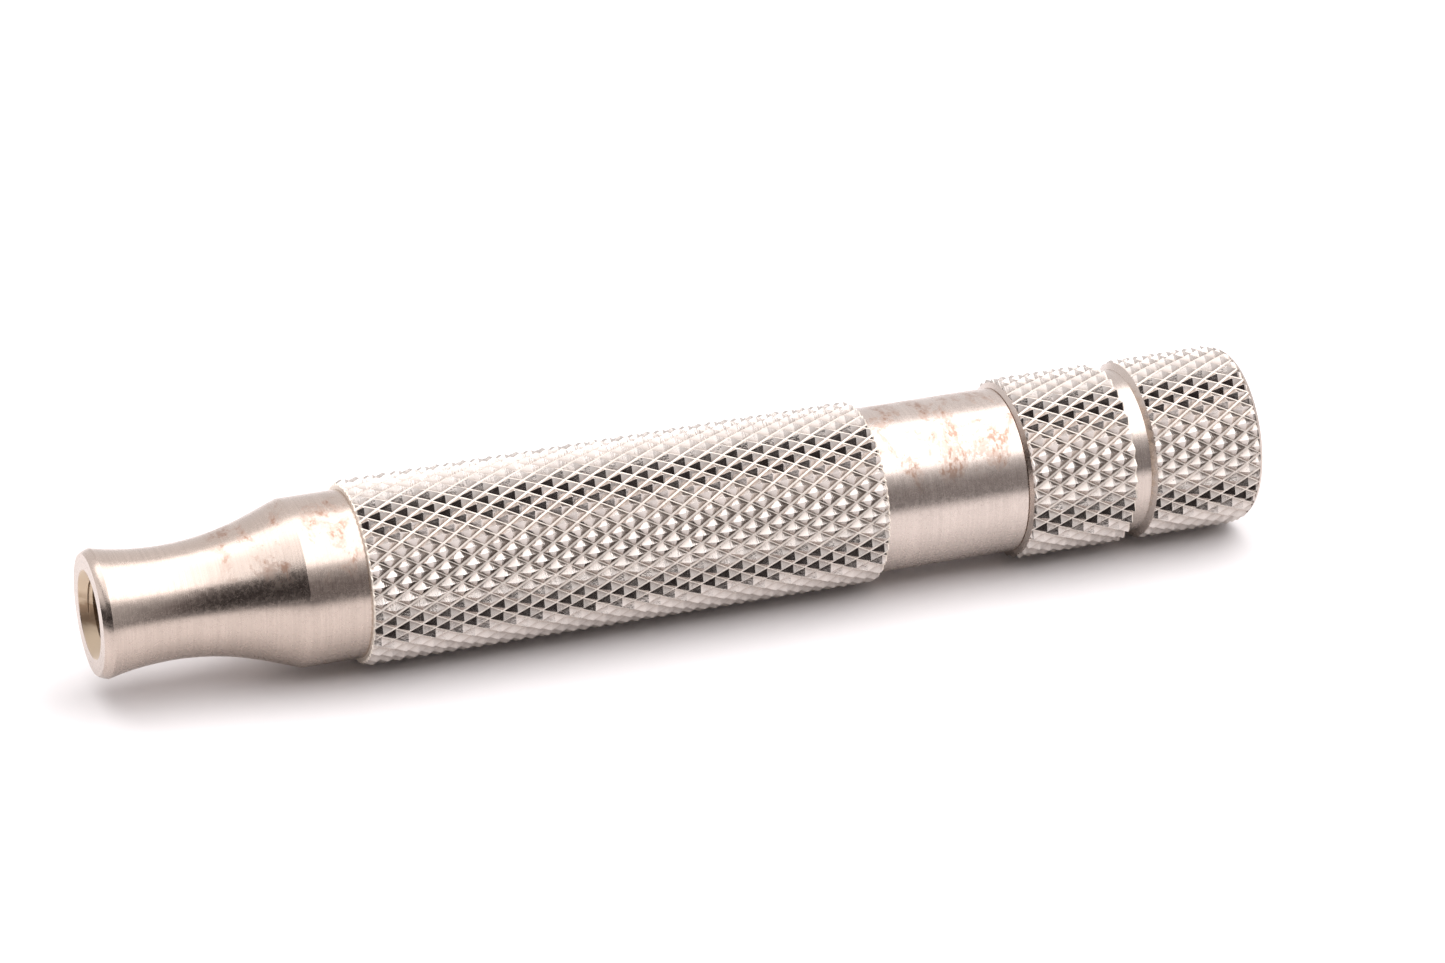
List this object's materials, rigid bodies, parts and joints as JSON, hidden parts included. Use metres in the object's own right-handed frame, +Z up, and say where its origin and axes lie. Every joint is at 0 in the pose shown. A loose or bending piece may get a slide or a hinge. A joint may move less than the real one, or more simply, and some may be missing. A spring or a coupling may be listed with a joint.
{
  "type": "pocket scriber handle",
  "caption": "All-metal pocket scriber handle: flared nose with threaded point socket, diamond-knurled grip, plain band and knurled screw-on tail cap that stows the point inside.",
  "frame": {"origin": "centre of the nose's front face, at the mouth of the point socket", "axes": "+X along the tool from the nose to the tail cap, +Z up; the tool lies on its side"},
  "size_m": [0.0812, 0.0125, 0.0124],
  "materials": {
    "turned_steel": "satin, fine turning lines, light tarnish",
    "knurled_steel": "bright rolled diamond knurl",
    "grey_rubber": "matt",
    "black_rubber": "satin",
    "tool_steel": "ground",
    "carbide": "fine ground"
  },
  "bodies": {
    "handle": {"nose_socket": "turned_steel", "core_tube": "turned_steel", "grip_sleeve": "knurled_steel", "tip_rest_pad": "grey_rubber"},
    "scribing_point": {"point_holder": "tool_steel", "carbide_tip": "carbide"},
    "cap_seal": {"cap_o_ring": "black_rubber"},
    "tail_cap": {"tail_cap": "knurled_steel", "point_grommet": "grey_rubber"}
  },
  "joints": [
    {"name": "point_draw", "type": "slide", "parent": "handle", "child": "scribing_point", "axis": [1, 0, 0], "range_m": [0, 0.04]},
    {"name": "tail_cap_travel", "type": "slide", "parent": "scribing_point", "child": "cap_seal", "axis": [1, 0, 0], "range_m": [0, 0.0053]},
    {"name": "tail_cap_turn", "type": "hinge", "parent": "cap_seal", "child": "tail_cap", "pos_m": [0.06, 0, 0], "axis": [1, 0, 0], "range_deg": [0, 2520]}
  ],
  "couplings": [
    {"joint": "tail_cap_travel", "follows": "tail_cap_turn", "m_per_rad": 0.00011937}
  ]
}
